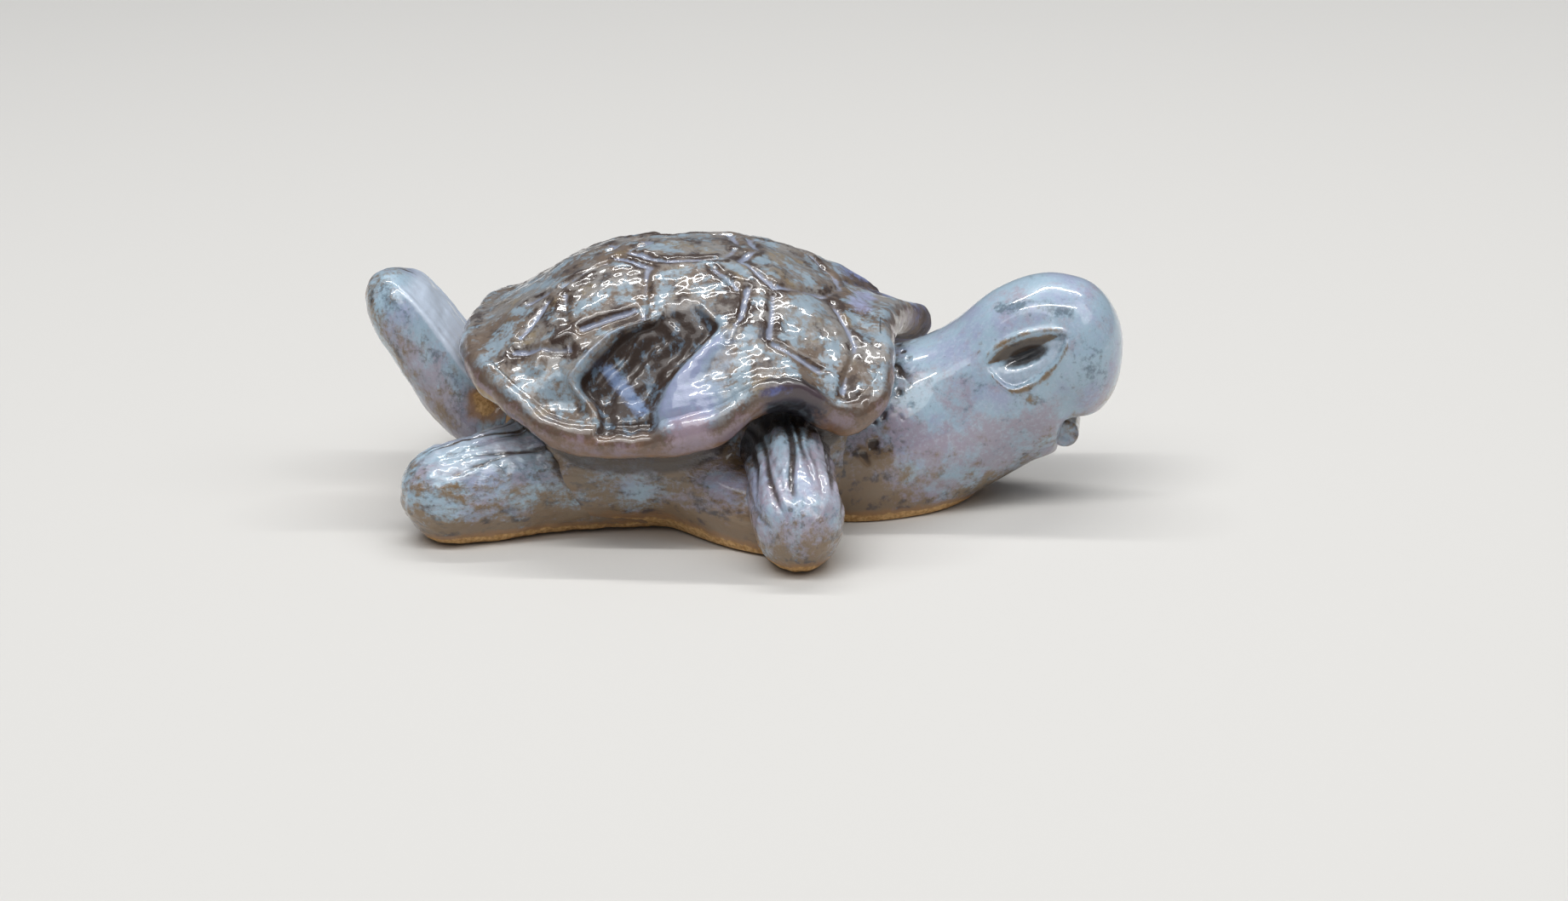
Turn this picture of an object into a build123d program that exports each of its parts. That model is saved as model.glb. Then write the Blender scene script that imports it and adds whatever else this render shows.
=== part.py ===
from build123d import *
import os
from math import atan2, cos, degrees, exp, hypot, radians, sin, sqrt, tan

os.makedirs("parts", exist_ok=True)

# A hand-built stoneware turtle, glazed and fired. +X points to its head, +Y to its left, and
# Z is up from the table that it lies on. Sizes are in millimetres and angles in degrees.

# Carapace: a slab of clay draped over the torso, with a rolled lip along a waving rim
shell_rear = 50.0
shell_front = 29.6
shell_peak = -11.7
shell_width = 75.0
shell_height = 48.2
slab = 6.0
lip = 6.4
lip_roll = 2.4
rear_edge_height = 35.0
front_edge_height = 35.4
rim_height = 18.0
tail_lift = 11.0
tail_lift_start = 24.0
leg_clearance = 5.2
neck_clearance = 1.4
neck_arch_depth = 6.0

# Form factors of the carapace: how blunt its plan is, and how full its dome
tail_plan_power = 2.6
neck_plan_power = 3.2
neck_plan_ratio = 0.93
dome_power = 2.4
ridge_power = 3.2
ridge_fall_power = 2.8
tail_lift_power = 1.1
leg_arch_ratio = 0.5

# Hollow pressed into each flank of the carapace, between its rear and its front lobe
hollow_place = -14.2
hollow_lean = 9.0
hollow_width = 17.0
hollow_depth = 3.4
hollow_top_share = 0.5
hollow_foot_share = 1.1

# Torso: a waisted mound with a flat bare underside
torso_rear = 46.0
torso_front = 29.0
waist_width = 37.0
flank_bulge = 8.5
bulge_height = 10.0
sole_trim = 2.0
brim_overhang = 8.0
torso_plan_power = 3.0

# Head and neck: one roll of clay that rises from the chest to a blunt beak.
# Each rib has its place, as a step forwards from the rib behind it, the height of its middle, its
# width, its depth and its tilt.
breast_place, breast_rise, breast_width, breast_depth, breast_tilt = 16.0, 10.0, 37.2, 35.0, 4.0
chest_step, chest_rise, chest_width, chest_depth, chest_tilt = 8.0, 10.5, 37.2, 34.6, 8.0
gullet_step, gullet_rise, gullet_width, gullet_depth, gullet_tilt = 11.2, 13.0, 31.6, 33.4, 20.0
throat_step, throat_rise, throat_width, throat_depth, throat_tilt = 10.3, 20.0, 26.4, 29.0, 28.0
nape_step, nape_rise, nape_width, nape_depth, nape_tilt = 6.5, 24.4, 25.2, 30.6, 20.0
crown_step, crown_rise, crown_width, crown_depth, crown_tilt = 6.2, 28.2, 24.0, 27.6, 9.0
snout_step, snout_rise, snout_width, snout_depth = 11.2, 27.6, 21.6, 24.4
beak_round = 6.2

# Eyes, carved into the sides of the head at the nape, and the mouth under the beak
eye_setback = 0.8
eye_lift = 4.0
eye_length = 15.0
eye_opening = 8.0
eye_depth = 2.6
eye_tilt = 20.0
mouth_length = 13.1
mouth_drop = 11.7
mouth_gap = 0.6

# Lower jaw: a small roll of clay pressed across under the beak
jaw_setback = 11.2
jaw_thickness = 5.2
jaw_width = 11.0

# Front legs: stubs that point outwards, a little forwards and down
front_leg_place, front_leg_side, front_leg_height = 9.4, 24.0, 11.8
front_leg_length, front_leg_root, front_leg_shank, front_leg_toe = 25.4, 20.0, 17.4, 15.4
front_leg_heading, front_leg_pitch = 76.0, 14.0

# Hind legs: stubs that point backwards and outwards
hind_leg_place, hind_leg_side, hind_leg_height = -36.0, 21.0, 9.2
hind_leg_length, hind_leg_root, hind_leg_shank, hind_leg_toe = 24.4, 21.2, 18.6, 16.4
hind_leg_heading, hind_leg_pitch = 159.0, 7.0

# Tail: a paddle that curls up behind the carapace
tail_root, tail_root_height = -38.0, 11.0
tail_bend, tail_bend_height = -51.6, 19.6
tail_tip, tail_tip_height = -67.5, 42.8
tail_width, tail_thickness = 20.4, 14.6
tail_end_round = 13.0
tail_taper_share = 0.14


def rounded(share, bluntness=2):
    """Half-width of a blunt oval at a share of its reach: 1 in the middle, 0 at the end."""
    return (1 - min(abs(share), 1) ** bluntness) ** (1 / bluntness)


def heading_vector(heading, pitch):
    """Direction of a leg on the right side, turned from +X and dipping by its pitch."""
    level = cos(radians(pitch))
    return Vector(
        cos(radians(heading)) * level,
        -sin(radians(heading)) * level,
        -sin(radians(pitch)),
    )


def shell_share(x):
    """Place along the carapace as a share of its reach, from its peak to either edge."""
    reach = shell_front - shell_peak if x > shell_peak else shell_rear + shell_peak
    return (x - shell_peak) / reach


def shell_half_width(x):
    """The plan is a blunt oval, blunter over the neck than over the tail."""
    share = shell_share(x)
    if share < 0:
        return shell_width / 2 * rounded(share, tail_plan_power)
    return shell_width / 2 * rounded(share * neck_plan_ratio, neck_plan_power)


def shell_crown(x):
    """The ridge of the dome falls from the peak to the height of either edge."""
    edge = front_edge_height if x > shell_peak else rear_edge_height
    return edge + (shell_height - edge) * (1 - abs(shell_share(x)) ** ridge_power) ** ridge_fall_power


# The rim arches over each front leg where the leg's axis crosses it
front_leg_axis = heading_vector(front_leg_heading, front_leg_pitch)
hind_leg_axis = heading_vector(hind_leg_heading, hind_leg_pitch)
leg_arch_place = front_leg_place + (shell_width / 2 - front_leg_side) / tan(radians(front_leg_heading))
leg_arch_span = front_leg_root * leg_arch_ratio
leg_arch_rise = front_leg_height + front_leg_shank / 2 + leg_clearance - rim_height


def rim_underside(x):
    """The rim waves: it arches over each front leg and climbs towards the tail."""
    over_leg = leg_arch_rise * exp(-(((x - leg_arch_place) / leg_arch_span) ** 2))
    behind = max(0, -x - tail_lift_start) / (shell_rear - tail_lift_start)
    return rim_height + over_leg + tail_lift * behind**tail_lift_power


def dome_point(half_width, shoulder, crown, share):
    """Point of a domed section, by its share of the way from the crown to the right shoulder."""
    return (-half_width * share, shoulder + (crown - shoulder) * (1 - share**dome_power))


def dome_line(half_width, shoulder, crown):
    """Points over the domed back, from the right shoulder to the left one."""
    right = [dome_point(half_width, shoulder, crown, share) for share in (1.0, 0.84, 0.62, 0.34)]
    return right + [(0, crown)] + [(-y, z) for y, z in reversed(right)]


def spindle_sizes(length, opening, depth):
    """Half-length and radius of a spindle that leaves a hollow of this length, width and depth,
    and how far its axis lies outside the surface."""
    radius = ((opening / 2) ** 2 + depth**2) / (2 * depth)
    outside = radius - depth
    half_length = length / 2 / sqrt(1 - (outside / radius) ** 2)
    return half_length, radius, outside


def spindle(middle, axis, half_length, radius):
    """An ellipse turned about its own long axis: the thumb or tool that presses a hollow."""
    across = axis.cross(Vector(0, 0, 1))
    with BuildPart() as presser:
        with BuildSketch(Plane(middle, x_dir=axis, z_dir=across)):
            Ellipse(half_length, radius)
            Rectangle(2 * half_length, radius, align=(Align.CENTER, Align.MAX), mode=Mode.SUBTRACT)
        revolve(axis=Axis(middle, axis))
    return presser.part


# Torso: lofted along X through sections with bulging flanks and a domed back, then trimmed flat
# underneath
torso_middle = (torso_front - torso_rear) / 2
torso_reach = (torso_front + torso_rear) / 2
with BuildPart() as torso:
    for share in (-0.99, -0.9, -0.72, -0.45, -0.15, 0.15, 0.45, 0.72, 0.9, 0.99):
        x = torso_middle + share * torso_reach
        foot = waist_width / 2 * rounded(share, torso_plan_power)
        flank = foot + flank_bulge * rounded(share, torso_plan_power)
        shoulder_half = min(shell_half_width(x) - brim_overhang, flank)
        back = dome_line(shoulder_half, rim_underside(x) + lip / 2, shell_crown(x) - slab)
        with BuildSketch(Plane.YZ.offset(x)):
            with BuildLine():
                Line((foot, -sole_trim), (-foot, -sole_trim))
                Spline((-foot, -sole_trim), (-flank, bulge_height), back[0])
                Spline(*back)
                Spline(back[-1], (flank, bulge_height), (foot, -sole_trim))
            make_face()
    loft()
    split(bisect_by=Plane.XY, keep=Keep.TOP)
torso.part.label = "torso"

# Head and neck: lofted through tilted ovals, flat where it lies on the table, and cut away
# where it is pressed onto the torso
chest_place = breast_place + chest_step
gullet_place = chest_place + gullet_step
throat_place = gullet_place + throat_step
nape_place = throat_place + nape_step
crown_place = nape_place + crown_step
snout_reach = crown_place + snout_step
neck_ribs = [
    (breast_place, breast_rise, breast_width, breast_depth, breast_tilt),
    (chest_place, chest_rise, chest_width, chest_depth, chest_tilt),
    (gullet_place, gullet_rise, gullet_width, gullet_depth, gullet_tilt),
    (throat_place, throat_rise, throat_width, throat_depth, throat_tilt),
    (nape_place, nape_rise, nape_width, nape_depth, nape_tilt),
    (crown_place, crown_rise, crown_width, crown_depth, crown_tilt),
]
for share in (0.0, 0.5, 0.8, 0.95, 0.985):
    beak_place = snout_reach - beak_round * (1 - share)
    neck_ribs.append((beak_place, snout_rise, snout_width * rounded(share), snout_depth * rounded(share), 0))
eye_slope = Vector(cos(radians(eye_tilt)), 0, sin(radians(eye_tilt)))
eye_half_length, eye_radius, eye_outside = spindle_sizes(eye_length, eye_opening, eye_depth)
eye_middle = Vector(nape_place - eye_setback, -nape_width / 2 - eye_outside, nape_rise + eye_lift)
right_eye = spindle(eye_middle, eye_slope, eye_half_length, eye_radius)
left_eye = mirror(right_eye, about=Plane.XZ)
mouth_corner = snout_reach - mouth_length
mouth_height = snout_rise - mouth_drop
jaw_place = snout_reach - jaw_setback
jaw_height = mouth_height - mouth_gap - jaw_thickness / 2

# Lower jaw: a whole roll with round ends, turned about its own axis
with BuildPart() as lower_jaw:
    with BuildSketch(Plane.XY.offset(jaw_height)):
        with Locations((jaw_place, 0)):
            SlotOverall(jaw_width, jaw_thickness, rotation=90)
            Rectangle(jaw_thickness, jaw_width, align=(Align.MAX, Align.CENTER), mode=Mode.SUBTRACT)
    revolve(axis=Axis((jaw_place, 0, jaw_height), (0, 1, 0)))
lower_jaw.part.label = "lower_jaw"

with BuildPart() as head_and_neck:
    for x, z, width, depth, tilt in neck_ribs:
        forwards = (cos(radians(tilt)), 0, sin(radians(tilt)))
        with BuildSketch(Plane((x, 0, z), x_dir=(0, 1, 0), z_dir=forwards)):
            Ellipse(width / 2, depth / 2)
    loft()
    split(bisect_by=Plane.XY, keep=Keep.TOP)
    add([right_eye, left_eye], mode=Mode.SUBTRACT)
    # Mouth: cut away under the beak, back to its corner and down past the jaw
    with BuildSketch(Plane.XZ):
        with BuildLine():
            Polyline(
                (mouth_corner, mouth_height),
                (snout_reach, mouth_height),
                (snout_reach, jaw_height - jaw_thickness),
                (jaw_place, jaw_height - jaw_thickness),
                (jaw_place, jaw_height),
                close=True,
            )
        make_face()
    extrude(amount=crown_width, both=True, mode=Mode.SUBTRACT)
    for piece in (lower_jaw, torso):
        add(piece.part, mode=Mode.SUBTRACT)
head_and_neck.part.label = "head_and_neck"


def stub(foot_of_axis, axis, length, root, shank, toe):
    """A leg: a tapering roll with a round toe, turned about its own axis, flat underneath and
    cut away where it is pressed onto the torso and the chest."""
    with BuildPart() as leg:
        with BuildSketch(Plane(foot_of_axis, x_dir=axis, z_dir=Vector(0, 0, 1).cross(axis))):
            with BuildLine():
                toe_middle = length - toe / 2
                Line((0, 0), (0, root / 2))
                Spline((0, root / 2), (toe_middle / 2, shank / 2), (toe_middle, toe / 2), tangents=[(2, -1), (1, 0)])
                CenterArc((toe_middle, 0), toe / 2, 0, 90)
                Line((length, 0), (0, 0))
            make_face()
        revolve(axis=Axis(foot_of_axis, axis))
        split(bisect_by=Plane.XY, keep=Keep.TOP)
        add(torso.part, mode=Mode.SUBTRACT)
        add(head_and_neck.part, mode=Mode.SUBTRACT)
    return leg.part


# Legs: the left ones are the right ones mirrored
with BuildPart() as front_right_leg:
    add(
        stub(
            Vector(front_leg_place, -front_leg_side, front_leg_height),
            front_leg_axis,
            front_leg_length,
            front_leg_root,
            front_leg_shank,
            front_leg_toe,
        )
    )
with BuildPart() as hind_right_leg:
    add(
        stub(
            Vector(hind_leg_place, -hind_leg_side, hind_leg_height),
            hind_leg_axis,
            hind_leg_length,
            hind_leg_root,
            hind_leg_shank,
            hind_leg_toe,
        )
    )
with BuildPart() as front_left_leg:
    mirror(front_right_leg.part, about=Plane.XZ)
with BuildPart() as hind_left_leg:
    mirror(hind_right_leg.part, about=Plane.XZ)
front_right_leg.part.label = "front_right_leg"
hind_right_leg.part.label = "hind_right_leg"
front_left_leg.part.label = "front_left_leg"
hind_left_leg.part.label = "hind_left_leg"

# Tail: lofted along its curl, then straight up to a rounded end
tail_length = hypot(tail_tip - tail_bend, tail_tip_height - tail_bend_height)
tail_climb = degrees(atan2(tail_tip_height - tail_bend_height, tail_bend - tail_tip))
tail_ribs = [
    (tail_root, tail_root_height, 1, tail_climb / 4),
    ((tail_root + tail_bend) / 2, (2 * tail_root_height + tail_bend_height) / 3, 1, tail_climb * 2 / 3),
]
for share in (0.0, 0.3, 0.55, 0.75, 0.88, 0.96, 0.992):
    past = max(0, tail_length * (share - 1) / tail_end_round + 1)
    tail_ribs.append(
        (
            tail_bend + share * (tail_tip - tail_bend),
            tail_bend_height + share * (tail_tip_height - tail_bend_height),
            (1 - tail_taper_share * share) * rounded(past),
            tail_climb,
        )
    )
with BuildPart() as tail:
    for x, z, fullness, climb in tail_ribs:
        along = (-cos(radians(climb)), 0, sin(radians(climb)))
        with BuildSketch(Plane((x, 0, z), x_dir=(0, 1, 0), z_dir=along)):
            Ellipse(fullness * tail_width / 2, fullness * tail_thickness / 2)
    loft()
    split(bisect_by=Plane.XY, keep=Keep.TOP)
    add(torso.part, mode=Mode.SUBTRACT)
    for leg in (hind_right_leg, hind_left_leg):
        add(leg.part, mode=Mode.SUBTRACT)
tail.part.label = "tail"

# Hollows in the flanks of the carapace: a thumb has pressed each one in between the lobes


def shell_point(x, share):
    """Point of the carapace's right flank, by its share of the way from the ridge to the lip."""
    y, z = dome_point(shell_half_width(x) - lip_roll, rim_underside(x) + lip, shell_crown(x), share)
    return Vector(x, y, z)


hollow_head = shell_point(hollow_place + hollow_lean / 2, hollow_top_share)
hollow_axis = shell_point(hollow_place - hollow_lean / 2, hollow_foot_share) - hollow_head
hollow_half_length, hollow_radius, hollow_outside = spindle_sizes(hollow_axis.length, hollow_width, hollow_depth)
hollow_outwards = hollow_axis.cross(Vector(1, 0, 0)).normalized()
hollow_middle = shell_point(hollow_place, (hollow_top_share + hollow_foot_share) / 2) + hollow_outwards * hollow_outside
right_thumb = spindle(hollow_middle, hollow_axis.normalized(), hollow_half_length, hollow_radius)
left_thumb = mirror(right_thumb, about=Plane.XZ)

# Carapace: the draped dome with its rolled lip, less everything that it lies on. The last
# sections draw in, which rolls the lip over the neck.
shell_sections = [
    (shell_peak + share * (shell_rear + shell_peak), 0)
    for share in (-0.995, -0.93, -0.82, -0.66, -0.46, -0.24, 0.0)
]
shell_sections += [
    (shell_peak + share * (shell_front - shell_peak), 0)
    for share in (0.22, 0.4, 0.56, 0.72, 0.87)
]
shell_sections += [
    (shell_front - ahead * lip_roll, drawn_in * lip_roll)
    for ahead, drawn_in in ((1.0, 0.0), (0.3, 0.3), (0.0, 0.7))
]
with BuildPart() as carapace:
    for x, drawn_in in shell_sections:
        half = shell_half_width(x) - drawn_in
        edge_half = half - lip_roll
        under = rim_underside(x) + drawn_in
        top = rim_underside(x) + lip - drawn_in
        with BuildSketch(Plane.YZ.offset(x)):
            with BuildLine():
                Line((edge_half, under), (-edge_half, under))
                ThreePointArc((-edge_half, under), (-half, (under + top) / 2), (-edge_half, top))
                Spline(*dome_line(edge_half, top, shell_crown(x) - drawn_in))
                ThreePointArc((edge_half, top), (half, (under + top) / 2), (edge_half, under))
            make_face()
    loft()
    # The arch over the neck stands clear of it at the mouth and closes on it further in
    with BuildSketch(Plane((shell_front - neck_arch_depth, 0, chest_rise), x_dir=(0, 1, 0), z_dir=(1, 0, 0))):
        Ellipse(chest_width / 2 + neck_clearance, chest_depth / 2 + neck_clearance)
    extrude(amount=2 * neck_arch_depth, mode=Mode.SUBTRACT)
    add([right_thumb, left_thumb], mode=Mode.SUBTRACT)
    for piece in (torso, head_and_neck, tail, hind_right_leg, hind_left_leg):
        add(piece.part, mode=Mode.SUBTRACT)
carapace.part.label = "carapace"

pieces = (
    torso,
    carapace,
    head_and_neck,
    lower_jaw,
    front_left_leg,
    front_right_leg,
    hind_left_leg,
    hind_right_leg,
    tail,
)
for piece in pieces:
    export_step(piece.part, f"parts/{piece.part.label}.step")
    print(piece.part.label, piece.part.is_valid, [round(solid.volume) for solid in piece.part.solids()])
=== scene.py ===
import bpy
import numpy as np
from mathutils import Matrix, Vector


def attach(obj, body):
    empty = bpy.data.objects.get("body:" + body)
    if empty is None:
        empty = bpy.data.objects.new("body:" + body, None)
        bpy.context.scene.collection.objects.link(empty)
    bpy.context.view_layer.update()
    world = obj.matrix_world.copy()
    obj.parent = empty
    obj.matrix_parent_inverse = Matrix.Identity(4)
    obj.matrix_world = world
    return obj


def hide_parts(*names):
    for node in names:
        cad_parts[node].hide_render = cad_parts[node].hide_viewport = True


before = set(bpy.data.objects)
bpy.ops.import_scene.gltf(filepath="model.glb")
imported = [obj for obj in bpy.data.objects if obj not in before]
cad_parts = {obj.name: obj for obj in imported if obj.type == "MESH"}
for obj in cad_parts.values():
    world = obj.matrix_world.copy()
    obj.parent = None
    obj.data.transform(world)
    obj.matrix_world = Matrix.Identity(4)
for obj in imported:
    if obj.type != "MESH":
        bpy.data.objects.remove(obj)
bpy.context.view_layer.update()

# Torso: the waisted lump of stoneware that the shell lies on and the limbs are luted to. It was
# modelled by hand, glazed where it shows, and left bare along the foot that stood in the kiln.
# Lengths here are in millimetres and bearings in degrees from the head, seen from above.
mm = 0.001
body = "root"
middle_x = -11.7
brim_overhang = 8.0
arch_bearing = 53.0
arch_spread = 14.0
arch_setback = 6.0
belly_bulge = 7.8
belly_height = 10.0
torso_top = 36.0
# Radius of the two poles, and how far under the board the sole lies before it is pressed flat
pole_reach = 0.5
sole_sink = 0.6
# Root, toe and thickness of the right front leg, which the flank swells towards
swell_root = np.array((8.2, -14, 5))
swell_toe = np.array((16, -47, 4))
swell_girth = 8.0
swell_reach = 15.0
# Bearings between which the swelling grows from its share in front of the leg to the whole behind
# it, and heights between which it fades under the brim
swell_bearings = (38, 58)
swell_ahead = 0.25
swell_heights = (11, 18)
# How far the foot spreads behind each front leg, where the clay was wiped down to the board, and
# the bearings at which this apron starts, is widest and ends
apron_depth = 10.0
apron_start, apron_crest, apron_end = 46, 57, 92
# Height of the bare foot, its loss for each millimetre of apron, and the wiped patch by the tail
bare_height = 6.5
bare_loss = 0.34
patch_bearing = 156
patch_spread = 9
# Pink blush on the right flank
blush_bearing = -72
blush_spread = 26
# Foot line: bearing, and distance from the middle
foot_line = np.array(
    [
        (0, 32), (30, 28), (52, 24), (70, 22), (90, 20.2), (108, 21.4), (124, 25.6), (138, 28), (156, 28.5),
        (180, 28),
    ]
)
# Bearing, reach and height of the underside of the shell's brim
brim_line = np.array(
    [
        (0, 40.6, 29.4), (15, 42.2, 28.6), (23, 44.8, 26.6), (30, 47.2, 23.6), (35, 47.4, 21.2),
        (40, 46.2, 20.4), (44.5, 44.9, 21.8), (50, 43.4, 24.8), (56, 41.8, 25.6), (63, 40.4, 24.2),
        (70, 39.2, 21.4), (78, 38.0, 19.6), (92, 37.2, 18.4), (106, 38.6, 18.2), (119, 40.2, 19.9),
        (126, 40.9, 22.2), (134, 41.4, 24.6), (143, 41.4, 26.6), (158, 40.2, 28.0), (180, 38.2, 29.0),
    ]
)


def through(knots, values, at):
    """Catmull-Rom curve through given values: between two knots runs the cubic that meets both
    values, with a weighted mean of the neighbouring chords' slopes at each of them."""
    values = np.asarray(values, float)
    knots = np.asarray(knots, float)
    spread = (-1,) + (1,) * (values.ndim - 1)
    span = np.diff(knots).reshape(spread)
    chord = np.diff(values, axis=0) / span
    inner_slope = (chord[:-1] * span[1:] + chord[1:] * span[:-1]) / (span[1:] + span[:-1])
    slope = np.concatenate([chord[:1], inner_slope, chord[-1:]])
    before = np.clip(np.searchsorted(knots, at, side="right") - 1, 0, len(knots) - 2)
    width = span[before].reshape(np.shape(at) + (1,) * (values.ndim - 1))
    share = (at - knots[before]).reshape(width.shape) / width
    rest = 1 - share
    ends = values[before] * rest**2 * (1 + 2 * share) + values[before + 1] * share**2 * (1 + 2 * rest)
    return ends + width * share * rest * (slope[before] * rest - slope[before + 1] * share)


def round_the_middle(line, bearing):
    """Values of a line of bearings at any bearing, the same on the left as on the right."""
    flip = [-1] + [1] * (line.shape[1] - 1)
    behind = line[-2:-4:-1] * flip
    behind[:, 0] += 360
    whole = np.concatenate([line[2:0:-1] * flip, line, behind])
    return through(whole[:, 0], whole[:, 1:], np.abs((bearing + 180) % 360 - 180))


def ramp(value, start, end):
    """Smooth step: 0 up to the start, 1 from the end on, and a cubic S between them."""
    share = np.clip((value - start) / (end - start), 0, 1)
    return share**2 * (3 - 2 * share)


def hump(value, width):
    """Bell curve: 1 at zero, falling as the exponential of minus the square of value over width."""
    return np.exp(-np.square(value / width))


def settle(points, rounding=0.8):
    """Clay pressed on a board: heights below the rounding fall off exponentially towards zero, so
    that the foot is flat and its edge round."""
    height = points[..., 2]
    pressed = rounding * np.exp((np.minimum(height, rounding) - rounding) / rounding)
    return np.concatenate([points[..., :2], np.where(height < rounding, pressed, height)[..., None]], axis=-1)


def outward(points):
    """Unit normals of a grid: the step around it crossed with the step along it."""
    along = np.gradient(points, axis=0)
    around = np.roll(points, -1, axis=1) - np.roll(points, 1, axis=1)
    normal = np.cross(around, along)
    return normal / np.maximum(np.linalg.norm(normal, axis=-1, keepdims=True), 1e-9)


def lumps(points, size, start=0.0):
    """Unevenness left by fingers: the mean of six sine waves about one size long, each along its
    own direction, from -1 to 1."""
    wave = np.arange(6)
    turn = wave * 2.4 + start
    tilt = wave / 5 * 1.8 - 0.9
    direction = np.stack([np.cos(turn) * np.cos(tilt), np.sin(turn) * np.cos(tilt), np.sin(tilt)])
    wavelength = size * (0.8 + 0.09 * wave)
    return np.sin(points @ direction * 2 * np.pi / wavelength + 1.7 * turn).mean(axis=-1)


def press(name, points, marks):
    """Closed mesh from a grid of points. Each row runs round the piece and meets itself, quads join
    neighbouring rows, and the first and last rows close on a pole at their mean. Marks are values
    at the points that the glaze reads as attributes."""
    rows, columns = points.shape[:2]
    here = np.arange(rows * columns).reshape(rows, columns)
    beside = np.roll(here, -1, axis=1)
    quads = np.stack([here[:-1], beside[:-1], beside[1:], here[1:]], axis=-1).reshape(-1, 4)
    first_pole = np.full(columns, rows * columns)
    first_fan = np.stack([first_pole, beside[0], here[0]], axis=-1)
    last_fan = np.stack([here[-1], beside[-1], first_pole + 1], axis=-1)
    poles = np.stack([points[0].mean(axis=0), points[-1].mean(axis=0)])
    places = np.concatenate([points.reshape(-1, 3), poles]) * mm
    mesh = bpy.data.meshes.new(name)
    mesh.from_pydata(places, [], quads.tolist() + first_fan.tolist() + last_fan.tolist())
    mesh.polygons.foreach_set("use_smooth", np.ones(len(mesh.polygons), dtype=bool))
    for mark, values in marks.items():
        values = np.broadcast_to(values, (rows, columns))
        at_poles = [values[0].mean(), values[-1].mean()]
        layer = mesh.attributes.new(mark, "FLOAT", "POINT")
        layer.data.foreach_set("value", np.concatenate([values.ravel(), at_poles]))
    mesh.update()
    piece = bpy.data.objects.new(name, mesh)
    bpy.context.scene.collection.objects.link(piece)
    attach(piece, body)
    return piece


class Wash:
    """A value in a glaze's node tree. Sums and products of washes and numbers add Math nodes."""

    def __init__(self, tree, socket=None):
        self.tree = tree
        self.socket = socket

    def node(self, kind, settings, values, output=0):
        """Adds a node of any kind: its settings first, then the values or links of its sockets."""
        made = self.tree.nodes.new(kind)
        for name, setting in settings.items():
            setattr(made, name, setting)
        for name, value in values.items():
            if isinstance(value, Wash):
                self.tree.links.new(value.socket, made.inputs[name])
            else:
                made.inputs[name].default_value = value
        return Wash(self.tree, made.outputs[output] if len(made.outputs) else None)

    def maths(self, operation, first, second):
        """Adds a Math node on two values."""
        return self.node("ShaderNodeMath", {"operation": operation}, {0: first, 1: second})

    def __add__(self, other):
        return self.maths("ADD", self, other)

    def __radd__(self, other):
        return self.maths("ADD", other, self)

    def __sub__(self, other):
        return self.maths("SUBTRACT", self, other)

    def __rsub__(self, other):
        return self.maths("SUBTRACT", other, self)

    def __mul__(self, other):
        return self.maths("MULTIPLY", self, other)

    def __rmul__(self, other):
        return self.maths("MULTIPLY", other, self)

    def step(self, start, end):
        """Smooth step from 0 at the start to 1 at the end."""
        return self.node(
            "ShaderNodeMapRange",
            {"interpolation_type": "SMOOTHSTEP"},
            {"Value": self, "From Min": start, "From Max": end},
        )

    def over(self, under, colour):
        """Lays a colour over another one, as thickly as this value."""
        return self.node("ShaderNodeMix", {"data_type": "RGBA"}, {0: self, 6: under, 7: colour}, output=2)

    def mark(self, name):
        """A value pressed into the mesh."""
        return self.node("ShaderNodeAttribute", {"attribute_name": name}, {}, output="Fac")

    def clouds(self, size, shift, stretch=(1, 1, 1), detail=5.0, ragged=0.6):
        """Noise in patches of this size in millimetres, stretched along the axes, from 0 to 1."""
        place = self.node("ShaderNodeTexCoord", {}, {}, output="Object")
        scale = tuple(1 / (size * mm * long) for long in stretch)
        moved = {"Vector": place, "Scale": scale, "Location": (shift,) * 3}
        place = self.node("ShaderNodeMapping", {}, moved)
        return self.node(
            "ShaderNodeTexNoise", {}, {"Vector": place, "Scale": 1.0, "Detail": detail, "Roughness": ragged}
        )


def tint(red, green, blue):
    """A colour as it looks on screen, from 0 to 255, turned into linear light."""
    shade = np.array([red, green, blue]) / 255
    linear = np.where(shade <= 0.04045, shade / 12.92, ((shade + 0.055) / 1.055) ** 2.4)
    return (*linear.tolist(), 1.0)


def dip(piece, name):
    """Puts an empty glaze on a piece and gives the wash that its nodes start from."""
    material = bpy.data.materials.new(name)
    material.use_nodes = True
    material.node_tree.nodes.clear()
    piece.data.materials.append(material)
    return Wash(material.node_tree)


def fire(wash, colour, roughness, coat, relief, relief_depth):
    """Finishes a glaze: a soft coloured base under a clear glassy coat, with its own relief."""
    bump = wash.node("ShaderNodeBump", {}, {"Strength": 1.0, "Distance": relief_depth * mm, "Height": relief})
    shader = wash.node(
        "ShaderNodeBsdfPrincipled",
        {},
        {
            "Base Color": colour, "Roughness": roughness, "Normal": bump, "Coat Weight": coat,
            "Coat Roughness": 0.05, "Coat IOR": 1.5, "IOR": 1.45,
        },
    )
    wash.node("ShaderNodeOutputMaterial", {}, {"Surface": shader})


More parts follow.
